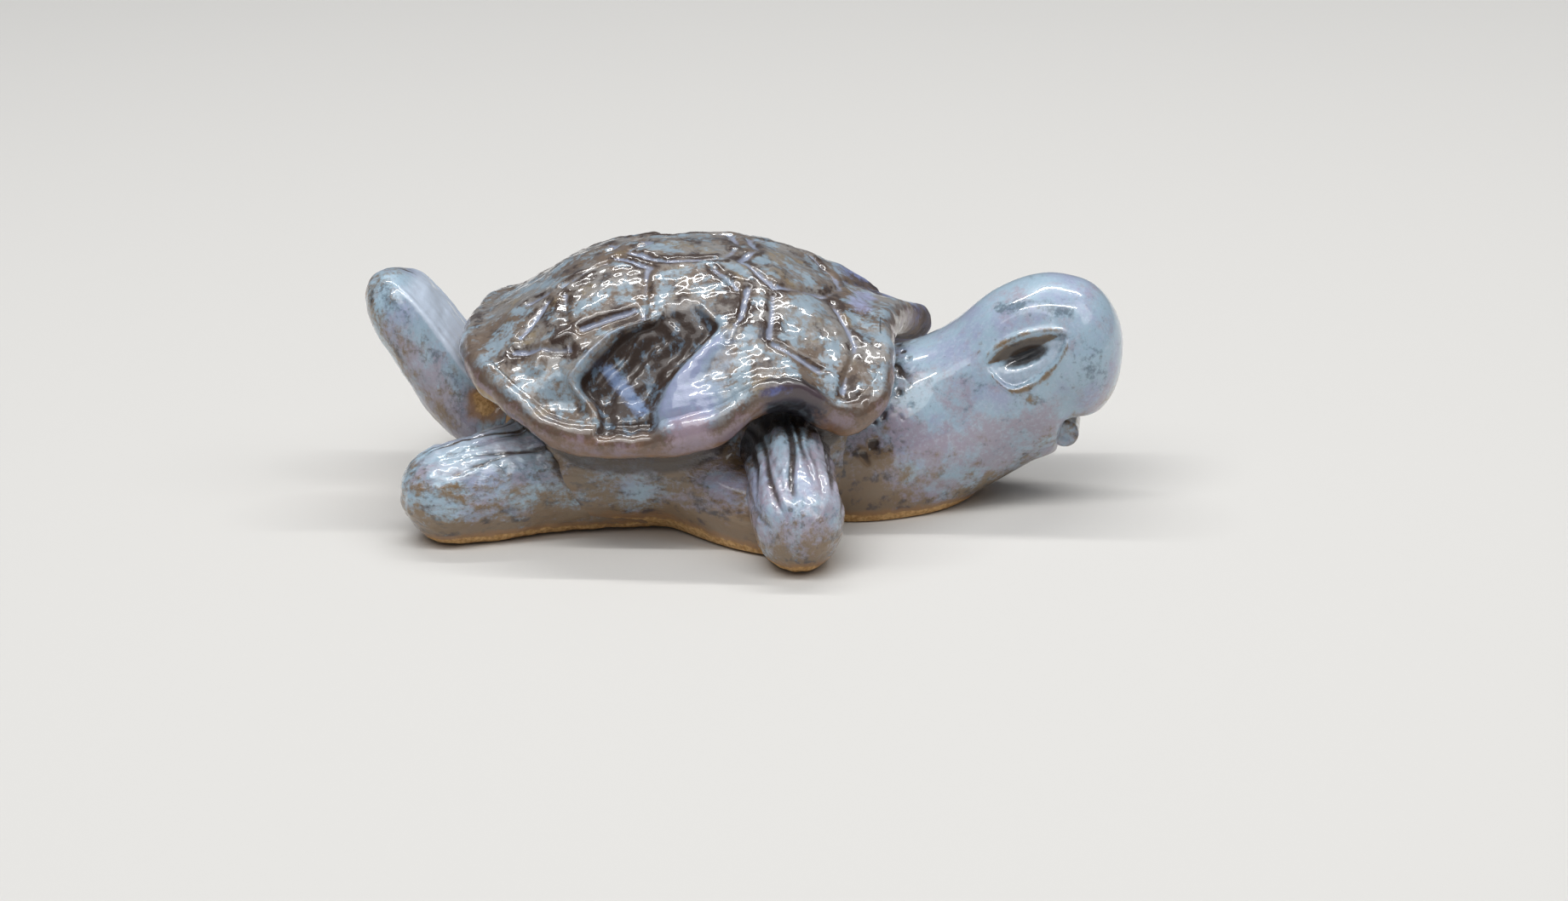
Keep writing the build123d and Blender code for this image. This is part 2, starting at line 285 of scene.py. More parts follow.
def blue_glaze(piece, brown, smoke, flush, relief_depth, grain=(1, 1, 1)):
    """Glaze of the body: pale blue that drifts to lavender and flushes pink, smoked with slate specks,
    broken to olive brown where it is thin, dark in the comb lines, and stopping at the bare foot.
    Brown, smoke and flush raise the share of each; the marks of the mesh raise them in places. The
    thin mark also carries painted shade and bounce light low on the body and under the neck, the comb
    mark also carries painted shade under the brim and round the collar, and the milk white of the
    pool mark, glaze pooled on upward faces, is also painted light there and a painted highlight
    along the tail's edges."""
    sky = tint(158, 182, 198)
    lavender = tint(154, 163, 190)
    pink = tint(160, 145, 158)
    milk = tint(194, 206, 222)
    slate = tint(78, 98, 112)
    olive = tint(128, 101, 64)
    umber = tint(52, 38, 29)
    rust = tint(158, 114, 68)
    clay = tint(224, 184, 128)
    sand = tint(176, 132, 80)
    wash = dip(piece, piece.name + "_glaze")
    names = ("thin", "comb", "bare", "pool_and_highlight", "smoke", "flush")
    thin, comb, bare, pool_and_highlight, smoked, flushed = (wash.mark(name) for name in names)
    breaks = wash.clouds(4.2, 7.7, grain)
    specks = wash.clouds(1.3, 4.6, grain, 3)
    grit = wash.clouds(0.7, 1.3, (1, 1, 1), 2)
    colour = wash.clouds(13, 3.1, grain, 7, 0.7).step(0.46, 0.62).over(sky, lavender)
    blush = wash.clouds(7, 9.2, grain, 8, 0.75) + flushed * 0.14 + flush
    colour = (blush.step(0.48, 0.66) * 0.8).over(colour, pink)
    colour = (grit.step(0.45, 0.75) * 0.35).over(colour, milk)
    haze = wash.clouds(8, 12.4, grain, 4) * 0.4 + specks * 0.4 + grit * 0.4 + smoked * 0.22 + smoke
    colour = (haze.step(0.62, 0.84) * 0.8).over(colour, slate)
    wear = breaks + (grit - 0.5) * 0.35 + (specks - 0.5) * 0.35 + thin * 0.5 + brown - pool_and_highlight * 0.5
    worn = wear.step(0.5, 0.82)
    colour = (worn * 0.92).over(colour, wash.clouds(2.6, 5.5, grain).step(0.5, 0.68).over(olive, umber))
    # Umber in the comb lines. Through the same mark, this is also painted shade under the brim and round the
    # collar of the neck.
    colour = ((comb * (0.3 + breaks + specks * 0.4)).step(0.3, 0.9) * 0.85).over(colour, umber)
    # Milk white where glaze pools. On the legs and tail it is also painted light on upward faces and a
    # painted highlight along the tail's edges.
    colour = (pool_and_highlight * (0.4 + grit)).step(0.2, 0.8).over(colour, milk)
    edge = bare + (wash.clouds(2.4, 2.2) - 0.5) * 0.5
    naked = edge.step(0.42, 0.56)
    colour = (edge.step(0.1, 0.42) * 0.9).over(colour, rust)
    colour = naked.over(colour, grit.step(0.3, 0.7).over(clay, sand))
    relief = specks * 0.6 + breaks * 0.6 + worn * 0.4
    fire(wash, colour, 0.28 + naked * 0.45 + worn * 0.08, 1 - naked, relief, relief_depth)


def shoulder_reach(brim, bearing):
    """Reach of the flank under the brim: short of the brim by the overhang, and set back further, by
    a hump, under the arch over a front leg."""
    return brim - brim_overhang - arch_setback * hump(np.abs(bearing) - arch_bearing, arch_spread)


flank_bearing = np.linspace(-180, 180, 361)[:-1]
flank_side = np.abs(flank_bearing)
foot = round_the_middle(foot_line, flank_bearing)[:, 0]
brim_reach, brim_height = round_the_middle(brim_line, flank_bearing).T
shoulder = shoulder_reach(brim_reach, flank_bearing)
still = np.zeros_like(foot)
apron = apron_depth * ramp(flank_side, apron_start, apron_crest)
apron = apron * (1 - ramp(flank_side, apron_crest, apron_end))
torso_rows = np.array([0, 0.22, 0.26, 0.36, 0.5, 0.66, 0.8, 1])
torso_reach = [
    still + pole_reach, foot + apron - 2, foot + apron, foot + belly_bulge * 0.7 + 0.5 * apron,
    foot + belly_bulge + 0.15 * apron,
    np.minimum((foot + belly_bulge + shoulder) / 2, shoulder), shoulder, still + pole_reach,
]
torso_height = [
    still - sole_sink, still - sole_sink, still + 0.2, still + belly_height * 0.45, still + belly_height,
    (brim_height + belly_height) / 2 + 1, brim_height + 3, still + torso_top,
]
outwards = np.stack([np.cos(np.radians(flank_bearing)), np.sin(np.radians(flank_bearing)), still], axis=-1)


def torso_surface(at):
    """The torso's flank at each bearing: reach and height follow a curve from under the middle, out
    to the foot, over the belly and in under the brim to the top."""
    reach = through(torso_rows, torso_reach, at)
    height = through(torso_rows, torso_height, at)
    turn = np.radians(flank_bearing)
    return np.stack([middle_x + reach * np.cos(turn), reach * np.sin(turn), height], axis=-1)


def gap_to_torso(points):
    """How far points lie outside the torso's flank, measured level along their bearing."""
    east = points[..., 0] - middle_x
    bearing = np.degrees(np.arctan2(points[..., 1], east))
    base = round_the_middle(foot_line, bearing)[..., 0]
    brim, under = np.moveaxis(round_the_middle(brim_line, bearing), -1, 0)
    below = np.clip(1 - points[..., 2] / belly_height, 0, 1)
    belly = base + belly_bulge * (1 - below**2)
    above = ramp(points[..., 2], belly_height, (under + belly_height) / 2)
    tuck_in = np.minimum(belly, shoulder_reach(brim, bearing)) - belly
    return np.hypot(east, points[..., 1]) - belly - tuck_in * above


def swell(points):
    """Clay smeared up from the flank onto the front legs: within reach of a leg, the surface rises by
    the square of what is left of the reach, over twice the reach, and less so in front of the leg
    and under the brim."""
    from_root = np.where(points[..., 1:2] > 0, points * [1, -1, 1], points) - swell_root
    run = swell_toe - swell_root
    share = np.clip(from_root @ run / (run @ run), 0, 1)
    gap = np.linalg.norm(from_root - share[..., None] * run, axis=-1) - swell_girth
    spare = np.clip(swell_reach - np.maximum(gap, 0), 0, None)
    behind = swell_ahead + (1 - swell_ahead) * ramp(flank_side, *swell_bearings)
    return spare**2 / (2 * swell_reach) * (1 - ramp(points[..., 2], *swell_heights)) * behind


points = torso_surface(np.linspace(0, 1, 150))
points += outward(points) * (0.35 * lumps(points, 13))[..., None] + outwards * swell(points)[..., None]
points = settle(points)
height = points[..., 2]
under_brim = height - brim_height
wiped = 0.8 * hump(flank_side - patch_bearing, patch_spread) * ramp(under_brim, -12, -9)
torso = press(
    "torso_clay", points,
    {
        # Browner towards the bottom of the flank: partly thinner glaze, partly painted shade and warm bounce
        # light.
        "thin": 0.5 * ramp(10 - height, 0, 7) + 0.3 * lumps(points, 9, 2.0),
        # Painted shade: the comb mark, which marks no grooves here, darkens a band just under the brim to
        # umber.
        "comb": 1.3 * ramp(under_brim, -7, -3),
        "bare": np.maximum(1 - height / (bare_height - bare_loss * apron), wiped),
        "flush": ramp(height, 2, 6) * hump(flank_bearing - blush_bearing, blush_spread),
    },
)
blue_glaze(torso, brown=0.2, smoke=0.02, flush=0.02, relief_depth=0.3, grain=(1.9, 1.2, 0.9))
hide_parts("torso")

# Front legs: stubs rolled in the hand, pressed to the flanks under the brim and smoothed on. The
# comb that scored them left long grooves from the root towards the toe.
# Each rib of the right leg: its middle, half-width, rise, drop, heading and pitch
front_ribs = [
    (8.2, -14, 12.6, 7.6, 9.8, 12, -76, -2),
    (10.1, -22, 12.6, 7.8, 10.4, 12, -76, -6),
    (11.6, -29, 11.8, 7.9, 10.0, 12.6, -76, -10),
    (13.1, -35.5, 10.3, 8.0, 9.2, 12, -76, -13),
    (14.5, -41, 8.9, 8.1, 8.4, 10.4, -76, -13),
    (16.2, -47.9, 7.6, 8.1, 8.2, 9.2, -76, -10),
]
leg_bare_height = 3.8
comb_end = 0.98 * np.pi
comb_wander = 0.10


def roll(ribs, heel, toe, rows, columns, bluntness=2.0, top_bluntness=2.0):
    """A roll of clay along given ribs. Each rib has its middle, half-width, rise, drop, heading
    and pitch, and a curve by the distance along the middles joins them. Round a rib, a point at an
    angle lies half-width times its cosine aside and rise or drop times its sine up, both to the
    power 2 / bluntness, which may differ on top. The heel and the toe are half ellipsoids of these
    lengths. Gives the points, and the share of the length and the angle of each."""
    ribs = np.array(ribs, float)
    along = np.concatenate([[0], np.cumsum(np.linalg.norm(np.diff(ribs[:, :3], axis=0), axis=1))])
    length = along[-1]
    quarter = np.linspace(0, np.pi / 2, rows // 5)
    at = np.concatenate(
        [
            heel * (1 - np.cos(quarter)),
            np.linspace(heel, length - toe, rows - 2 * len(quarter) + 2)[1:-1],
            length - toe + toe * np.sin(quarter),
        ]
    )
    into_heel = np.clip((heel - at) / max(heel, 0.01), 0, 1)
    into_toe = np.clip((at - length + toe) / toe, 0, 1)
    fullness = np.sqrt(np.clip(1 - np.maximum(into_heel, into_toe) ** 2, 1e-4, 1))
    rib = through(along, ribs, at)
    angle = np.linspace(-np.pi / 2, 1.5 * np.pi, columns + 1)[:-1]
    aside, up = np.cos(angle), np.sin(angle)
    power = 2 / np.where(up > 0, top_bluntness, bluntness)
    aside = np.sign(aside) * np.abs(aside) ** power
    up = np.sign(up) * np.abs(up) ** power
    heading, pitch = np.radians(rib[:, 6]), np.radians(rib[:, 7])
    left = np.stack([-np.sin(heading), np.cos(heading), np.zeros_like(heading)], axis=-1)
    level = np.cos(pitch)
    ahead = np.stack([np.cos(heading) * level, np.sin(heading) * level, np.sin(pitch)], axis=-1)
    lift = np.cross(ahead, left)
    width = (rib[:, 3] * fullness)[:, None] * aside
    rise = np.where(up > 0, rib[:, 4:5], rib[:, 5:6]) * fullness[:, None] * up
    points = rib[:, None, :3] + left[:, None] * width[..., None] + lift[:, None] * rise[..., None]
    return points, (at / length)[:, None], angle[None, :]


def lute(points, gap, reach):
    """Smears a limb onto what it is pressed to: within reach of it, the surface flares along its
    normal by the square of what is left of the reach, over twice the reach. Inside, the flare fades
    twice as fast, and it fades where the surface runs along the flank instead of into it."""
    near = np.clip(reach - np.where(gap > 0, gap, -2 * gap), 0, None)
    normal = outward(points)
    level = points[..., :2] - (middle_x, 0)
    level = level / np.linalg.norm(level, axis=-1, keepdims=True)
    square = 1 - np.clip((normal[..., :2] * level).sum(axis=-1), 0, 1)
    return points + normal * (square * near**2 / (2 * reach))[..., None]


def comb(share, angle, teeth, start, end, width, wander):
    """Grooves along a roll: one hump in angle for each tooth, spread from the start to the end and
    wandering by a slow sine along the roll. Each fades in near the root and out at its own length,
    and has its own depth."""
    scored = 0
    for tooth in range(teeth):
        place = start + (end - start) * (tooth + 0.5) / teeth
        drift = wander * np.sin(5.1 * share + 2.3 * tooth) + 0.4 * wander * np.sin(13 * share + 4.1 * tooth)
        fade_in = ramp(share, 0.02 * tooth % 0.1, 0.3)
        fade_out = 1 - ramp(share, 0.62 + 0.27 * np.sin(3.3 * tooth), 0.98)
        depth = 0.75 + 0.25 * np.sin(2.1 * tooth)
        scored = np.maximum(scored, depth * fade_in * fade_out * hump(angle - place - drift, width))
    return scored


def mirrored(points):
    """The same surface on the other side: sides swapped, and columns turned round so that the faces
    still point outwards."""
    return (points * [1, -1, 1])[:, ::-1]


def leg(name, ribs, toe, smear, groove, teeth, comb_start, comb_width, brown, brim_shade, grain):
    """A pair of legs, the left one mirrored, with comb grooves on top and a bare foot. Glaze pools
    milky white on top of the shin, a white that also stands for painted light there, and is dark in the
    grooves and, up to a share of the length, dark with painted shade under the brim."""
    points, share, angle = roll(ribs, 0, toe, 170, 220)
    points = lute(points, gap_to_torso(points), smear)
    scored = comb(share, angle, teeth, comb_start, comb_end, comb_width, comb_wander)
    uneven = 0.35 * lumps(points, 9) + 0.22 * lumps(points, 3, 1.0) + 0.1 * lumps(points, 1.7, 2.0)
    points = points + outward(points) * (uneven - groove * scored)[..., None]
    points = settle(points)
    shin = ramp(share, 0.4, 0.6) * (1 - ramp(share, 0.86, 0.96))
    # Painted light: milk white on the upper side of the shin, along with pooled glaze.
    pool_and_highlight = 0.5 * ramp(np.sin(angle), 0.2, 0.8) * shin * (1 - scored)
    # Dark in the comb grooves, and painted shade on the top near the root, under the brim.
    shade = np.maximum(1.1 * scored, 1.4 * ramp(brim_shade - share, 0, 0.08) * ramp(np.sin(angle), 0, 0.5))
    for side, surface, way in (("right", points, 1), ("left", mirrored(points), -1)):
        marks = {
            # Browner towards the bottom: partly thinner glaze, partly painted shade and bounce light.
            "thin": 0.6 * ramp(10 - surface[..., 2], 0, 8),
            "pool_and_highlight": pool_and_highlight[:, ::way],
            "comb": shade[:, ::way],
            "bare": 1 - surface[..., 2] / leg_bare_height,
            "flush": ramp(surface[..., 0], 13, 19),
        }
        piece = press(f"{name}_{side}_leg_clay", surface, marks)
        blue_glaze(piece, brown, smoke=0.05, flush=0.02, relief_depth=0.35, grain=grain)
        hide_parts(f"{name}_{side}_leg")


leg(
    "front", front_ribs, toe=9.5, smear=4, groove=0.75, teeth=9, comb_start=0.08 * np.pi, comb_width=0.1,
    brown=0.07, brim_shade=0.4, grain=(0.8, 1.8, 1.0),
)

# Hind legs: longer stubs that trail backwards and outwards, pressed on in the same way and scored
# more finely with the comb.
hind_ribs = [
    (-10, -16.2, 9.6, 8.6, 8.0, 9.8, -178, 0),
    (-20, -17.0, 9.8, 9.4, 8.6, 10.2, -173, 0),
    (-30, -18.5, 10, 9.6, 9, 10.8, -165, -1),
    (-39.5, -21.2, 10, 9.7, 9.2, 12, -160, -3),
    (-46.7, -24.2, 9.3, 9.4, 8.8, 11.4, -160, -5),
    (-52.3, -26.4, 8.6, 9, 8.4, 10, -160, -6),
    (-58.6, -28.9, 7.9, 8.6, 8, 8.8, -160, -5),
]
leg(
    "hind", hind_ribs, toe=9.0, smear=2, groove=0.3, teeth=14, comb_start=0.22 * np.pi, comb_width=0.05,
    brown=0.13, brim_shade=0.5, grain=(1.8, 0.8, 0.8),
)

# Tail: a flattened paddle of clay luted on under the back of the shell and curled upwards. Its
# upper face is smooth, and a band along its back is wiped down to the bare clay.
tail_ribs = [
    (-38, 0, 11, 9.4, 6.8, 6.8, 180, 14),
    (-45, 0, 13.6, 10, 7, 7.2, 180, 37),
    (-51.6, 0, 19.4, 10, 6.8, 7.4, 180, 54),
    (-56.6, 0, 26.6, 9.7, 6.5, 7, 180, 55.6),
    (-61.2, 0, 33.4, 9.3, 6.3, 6.6, 180, 55.6),
    (-66.9, 0, 41.8, 8.9, 6, 6.2, 180, 55.6),
]
# Angle from the middle of the upper face to its raised edges, and how far they are raised
tail_edge_angle = 0.27 * np.pi
tail_edge_height = 0.6
# Bare patch on each side of the root: how far back, how far aside and how high
tail_patch = (46, 10, 20)
tail_patch_size = 3.6
points, share, angle = roll(tail_ribs, 0, 10, 150, 200, 2.1, 3.0)
points = lute(points, gap_to_torso(points), 4)
from_top = angle - 0.5 * np.pi
up = np.sin(angle)
edges = hump(np.abs(from_top) - tail_edge_angle, 0.16) - 0.8 * hump(from_top, 0.5)
flattened = ramp(share, 0.2, 0.5) * (1 - ramp(share, 0.84, 0.97))
uneven = 0.3 * lumps(points, 8, 0.7) + 0.1 * lumps(points, 2.6) + tail_edge_height * edges * flattened
points = points + outward(points) * uneven[..., None]
points = settle(points)
back_band = ramp(-up, 0.86, 0.98) * ramp(share, 0.3, 0.5) * (1 - ramp(share, 0.75, 0.9))
patch = 0.75 * hump(np.linalg.norm(np.abs(points) - tail_patch, axis=-1), tail_patch_size)
tail = press(
    "tail_clay", points,
    {
        "thin": 0.35 * ramp(-up, -0.4, 0.6) * (1 - 0.5 * share) + 0.2 * ramp(share, 0.88, 0.98),
        "comb": 0.9 * hump(angle - 0.72 * np.pi + 0.5 * share, 0.07) * ramp(share, 0.5, 0.7),
        "bare": np.maximum(0.9 * back_band, patch),
        # Painted light: the pool mark whitens the upper face, along with pooled glaze, and paints a highlight
        # along its raised edges.
        "pool_and_highlight": (0.9 * ramp(up, 0.5, 0.9) + hump(np.abs(from_top) - tail_edge_angle, 0.1)) * flattened,
        "flush": ramp(-up, -0.3, 0.4) * (1 - ramp(share, 0.5, 0.8)),
        "smoke": 0.5 * hump(up - 0.3, 0.3),
    },
)
blue_glaze(tail, brown=0.0, smoke=0.02, flush=0.0, relief_depth=0.22, grain=(1, 1, 1.8))
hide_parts("tail")

# Head and neck: one roll that lies on the board at the breast, rises out of the shell and ends in
# a blunt beak. The eyes were carved with a knife, which broke the glaze brown along their edges.
neck_ribs = [
    (10, 0, 10, 18.4, 15.5, 22, 0, 2),
    (24, 0, 10.5, 18.6, 16.6, 22, 0, 8),
    (35.2, 0, 13.2, 15.8, 16.2, 15.2, 0, 20),
    (45.5, 0, 20, 13.2, 14.4, 15.2, 0, 28),
    (52, 0, 24.4, 12.6, 15.2, 16.3, 0, 20),
    (58.2, 0, 28, 12, 13.8, 13.8, 0, 9),
    (63.2, 0, 27.7, 11.2, 12.6, 12.6, 0, 1),
    (69.1, 0, 26.9, 10.8, 12.2, 12.4, 0, -3),
]
beak_length = 7.4
mouth_corner = 57.0
mouth_height = 15.9
mouth_slope = 0.05
mouth_rounding = 2.6
eye_middle = (52.5, 31.0)
eye_half_length = 7.8
eye_slope = np.radians(19)
lid_rise = 2.3
lid_drop = 6.1
lid_belly = -0.45
opening_depth = 0.9
pupil_depth = 2.7
knife_burr = 0.3
brow_height = 0.5
pit_depth = 0.4
# Smoky places by x and z: a streak over the eye, the cheek, and below the eye
streak_middle = (54, 37)
cheek_middle = (63.8, 26.5)
cheek_spread = 2.8
under_eye_middle = (53.5, 22)
under_eye_spread = 1.4
# The collar of the neck starts here and runs back under the shell, where it is darkened with painted shade
collar_front = 34
neck_bare_height = 3.2
points, _, angle = roll(neck_ribs, 0, beak_length, 300, 280)
points = lute(points, gap_to_torso(points), 4)
points = points + outward(points) * (0.3 * lumps(points, 14, 4.0))[..., None]
# These are views of the points, so that what is added to the points shows in them
x, y, z = np.moveaxis(points, -1, 0)
beak_floor = mouth_height + mouth_slope * (x - mouth_corner)
lifted = np.maximum(z, beak_floor + 0.6 * np.exp(np.minimum(z, beak_floor) - beak_floor))
points[..., 2] += (lifted - z) * ramp(x, mouth_corner, mouth_corner + mouth_rounding)
ahead_of_eye, above_eye = x - eye_middle[0], z - eye_middle[1]
eye_along = (ahead_of_eye * np.cos(eye_slope) + above_eye * np.sin(eye_slope)) / eye_half_length
eye_across = above_eye * np.cos(eye_slope) - ahead_of_eye * np.sin(eye_slope)
within = np.clip(1 - eye_along**2, 0, 1)
upper_lid = lid_rise * within**0.7
belly_share = (eye_along - lid_belly) / np.where(eye_along > lid_belly, 1 - lid_belly, 1 + lid_belly)
lower_lid = -lid_drop * np.clip(1 - belly_share**2, 0, 1) ** 0.75
on_side = ramp(np.abs(y), 3, 6)
between_lids = ramp(upper_lid - eye_across, 0, 0.9) * ramp(eye_across - lower_lid, 0, 0.9)
opening = on_side * between_lids * ramp(within, 0, 0.12)
pupil = on_side * hump(eye_along + 0.1, 0.5) * hump(eye_across + 0.9, 1.5) * opening
lower_edge = hump(eye_across - lower_lid + 0.35, 0.55)
upper_edge = 0.8 * hump(eye_across - upper_lid - 0.3, 0.5)
knife_edge = np.maximum(lower_edge, upper_edge) * on_side * ramp(within, -0.05, 0.15)
eyebrow = on_side * hump(eye_across - 6.4 + 1.5 * eye_along**2, 1.8) * hump(eye_along - 0.2, 0.9)
eye_wall = opening * ramp(eye_across + 0.4 - 0.4 * eye_along, 0, 0.8)
carving = opening_depth * opening + pupil_depth * pupil - knife_burr * knife_edge - brow_height * eyebrow
from_streak = x - streak_middle[0]
streak = hump(z - streak_middle[1] - 0.9 * hump(from_streak, 5), 1.0) * ramp(x, 45, 48)
streak = on_side * streak * (1 - ramp(x, 60, 62)) * (1 - 0.7 * hump(from_streak, 1.6))
cheek = on_side * hump(np.hypot(x - cheek_middle[0], z - cheek_middle[1]), cheek_spread)
off_under_eye = np.hypot((x - under_eye_middle[0]) / 1.6, z - under_eye_middle[1])
under_eye = on_side * hump(off_under_eye, under_eye_spread)
# Painted shade where the neck runs under the shell: browner, umber and slate round the collar.
collar_shade = ramp(collar_front - x, 0, 6) * ramp(z, 8, 16)
# Painted shade and bounce light, with browner glaze: the underside of the neck is made browner and less pink.
underside = ramp(-np.sin(angle), 0.45, 0.95)
pits = collar_shade * ramp(lumps(points, 2.6, 1.0), 0.2, 0.45)
points = settle(points - outward(points) * (carving + pit_depth * pits)[..., None])
x, z = points[..., 0], points[..., 2]
# Browner low on the throat and chest: partly glaze, partly painted shade and bounce light.
throat = ramp(20 - z, 0, 12) * ramp(52 - x, 0, 8)
chest = ramp(18 - z, 0, 9) * ramp(42 - x, 0, 22)
head = press(
    "head_and_neck_clay", points,
    {
        "thin": np.maximum(0.7 * knife_edge, 1.4 * eye_wall) + 0.6 * underside + 0.3 * collar_shade
        + 0.5 * under_eye + 0.3 * throat + 0.8 * chest,
        "comb": 1.9 * pupil + 0.5 * knife_edge + 0.6 * eye_wall + 0.3 * collar_shade + 0.8 * pits,
        "bare": 1 - z / neck_bare_height,
        "pool_and_highlight": 0.55 * opening * (1 - eye_wall) * (1 - ramp(pupil, 0.1, 0.4)),
        "smoke": streak + 0.8 * cheek + 0.4 * collar_shade + 0.5 * opening + 0.8 * under_eye,
        "flush": ramp(24 - z, 0, 10) * (1 - 0.5 * underside),
    },
)
blue_glaze(head, brown=-0.12, smoke=0.0, flush=-0.02, relief_depth=0.05)
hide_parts("head_and_neck")

# Lower jaw: a little roll of clay pressed across under the beak, its ends dished by a fingertip.
# It has the glaze of the body, thin all over except in the two dishes.
jaw_middle = (58.8, 12.9)
jaw_half_width = 5.4
jaw_radius = 2.55
jaw_rounding = 1.4
jaw_dish = 0.9
jaw_ribs = [
    (jaw_middle[0], side * jaw_half_width, jaw_middle[1], jaw_radius, jaw_radius, jaw_radius, 90, 0)
    for side in (-1, 0, 1)
]
points = roll(jaw_ribs, jaw_rounding, jaw_rounding, 90, 96)[0]
off_axis = np.hypot(points[..., 0] - jaw_middle[0], points[..., 2] - jaw_middle[1])
at_end = ramp(np.abs(points[..., 1]), jaw_half_width - 1.6, jaw_half_width)
points[..., 1] -= np.sign(points[..., 1]) * jaw_dish * at_end * hump(off_axis, 0.7 * jaw_radius)
jaw = press(
    "lower_jaw_clay", points,
    {"thin": 0.45 * (1 - hump(off_axis, 0.8 * jaw_radius) * at_end)},
)
blue_glaze(jaw, brown=0.0, smoke=-0.05, flush=0.0, relief_depth=0.1)
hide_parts("lower_jaw")

# Carapace: a slab of clay draped over the torso while soft. Its edge is rolled into a fat waving
# brim, the flanks are pressed into lobes with a deep pleat between them, and the scutes are cut in
# with a loop tool, so that the glaze pools pale in the strokes and breaks dark brown between them.
shell_top = 47.7
lip = 6.4
lip_roll = 2.9
lip_setback = 2.4
lip_arch_spread = 9.0
lip_tuck = 9.0
# Bearing and height that the dome falls to before the brim waves about it
dome_fall = np.array(
    [
        (0, 35.8), (20, 33.6), (40, 31.4), (60, 28.6), (90, 25.4), (110, 25.6), (130, 29.4), (150, 33.4),
        (180, 35.4),
    ]
)
wave_power = 6
# Scute strokes on the right half, in plan; each runs through its points
strokes = [
    [(-37.2, -10.9), (-33.4, -11.8)],
    [(-30.4, -11.9), (-22.8, -8.3)],
    [(-24.1, -2.7), (-22.1, 0)],
    [(-19.5, -3.4), (-16, 0)],
    [(-21.2, -6.7), (-14.2, -11)],
    [(-19.7, -4), (-11.8, -8.8), (-2.2, -7.4), (-0.2, -1.9)],
    [(1.1, -6.8), (3.6, 0)],
    [(1.1, -6.8), (7.9, -13.5), (16.5, -6.1), (18.3, 0)],
    [(-3, -11), (1.5, -16)],
    [(-14.9, -11.5), (-14.4, -21.6)],
    [(-29.5, -15), (-27.2, -25.9)],
    [(-32.9, -14.6), (-37.1, -20.4)],
    [(-37.7, -23.5), (-28, -25.8)],
    [(-25.4, -23), (-15.8, -20.4)],
    [(3.6, -15.5), (3, -22.1), (1, -26)],
    [(8.1, -15.8), (8.2, -24.6)],
    [(9.1, -25.6), (17, -25.9)],
    [(17.5, -7.4), (22.7, -17.7), (21, -27)],
]
stroke_width = 0.8
stroke_depth = 0.85
# Bearings of the pleat's two edges, by the share of the way from the top to the lip
pleat_rows = (0.5, 0.58, 0.65, 0.7, 0.77, 0.85, 0.9, 0.95, 1.05)
pleat_rear = (88, 90, 93, 104, 110, 114, 115, 109, 105)
pleat_front = (72, 69, 66, 64, 71, 80, 84, 86, 87)
pleat_depth = 2.7
rib_depth = 0.45
rear_fold_height = 1.2
front_fold_height = 0.7
# Pressed forms of the right flank: middles in space, lines in plan, widths and heights
lobe_middle = (-6, -34, 26.5)
lobe_size = 6
lobe_height = 1.1
dish_middle = (-27.5, -30.8, 27)
dish_size = 3.4
dish_depth = 1.3
curl_line = [(-33, -27.5), (-32, -24.5), (-28, -23.5)]
curl_width = 1.3
curl_height = 0.8
ridge_line = [(1, -33), (8, -32.6), (14, -30.5), (20, -27)]
ridge_width = 2.2
ridge_height = 0.8
# Places with a colour of their own, and how far each spreads
lilac_place = [(22.1, -2.8)]
lilac_spread = 3
blade_line = [(-20.4, -28.3), (-14.3, -32.8)]
blade_spread = 1.8
pink_middle = (-4.5, -37, 23.6)
pink_spread = 4.6
mustard_bearing = 138
mustard_spread = 9
lip_lilac_bearing = -58
lip_lilac_spread = 5
dusk_bearing = 26
dusk_spread = 18
# The left front lobe hangs further forward and lower than the right one
left_lobe_bearing = 24.0
left_lobe_spread = 13.0
left_lobe_reach = 3.5
left_lobe_drop = 2.6


def dome(bearing, share):
    """The draped slab before it is pressed: reach is a share of the brim's, and height falls from the
    top to the lip as one minus a power of the share, to a power that grows towards head and tail.
    The wave of the brim dies away inwards as a power of the share."""
    reach, under = np.moveaxis(round_the_middle(brim_line, bearing), -1, 0)
    base = round_the_middle(dome_fall, bearing)[..., 0]
    lengthwise = np.cos(np.radians(bearing)) ** 6
    fall = (1 - (share * (1 - 0.07 * lengthwise)) ** (2.4 + 0.8 * lengthwise)) ** (1 + 1.8 * lengthwise)
    height = base + (shell_top - base) * fall + (under + lip - base) * share**wave_power
    out = (reach - lip_roll) * share
    turn = np.radians(bearing)
    return np.stack([middle_x + out * np.cos(turn), out * np.sin(turn), height], axis=-1)


def on_dome(plan):
    """Points of the dome above given points of the plan."""
    plan = np.array(plan, float)
    bearing = np.degrees(np.arctan2(plan[:, 1], plan[:, 0] - middle_x))
    reach = round_the_middle(brim_line, bearing)[:, 0] - lip_roll
    return dome(bearing, np.hypot(plan[:, 0] - middle_x, plan[:, 1]) / reach)


def off_line(points, line):
    """Distance of points from a line of straight runs: for each run, the foot of the point on it is
    held between the run's ends, and the nearest run counts."""
    nearest = np.full(points.shape[:-1], np.inf)
    for start, end in zip(line[:-1], line[1:]):
        run = end - start
        share = np.clip((points - start) @ run / (run @ run), 0, 1)
        nearest = np.minimum(nearest, np.linalg.norm(points - start - share[..., None] * run, axis=-1))
    return nearest


def off_point(points, middle, scale=(1, 1, 1)):
    """Distance of points from a middle, with each axis scaled."""
    return np.linalg.norm((points - middle) * scale, axis=-1)


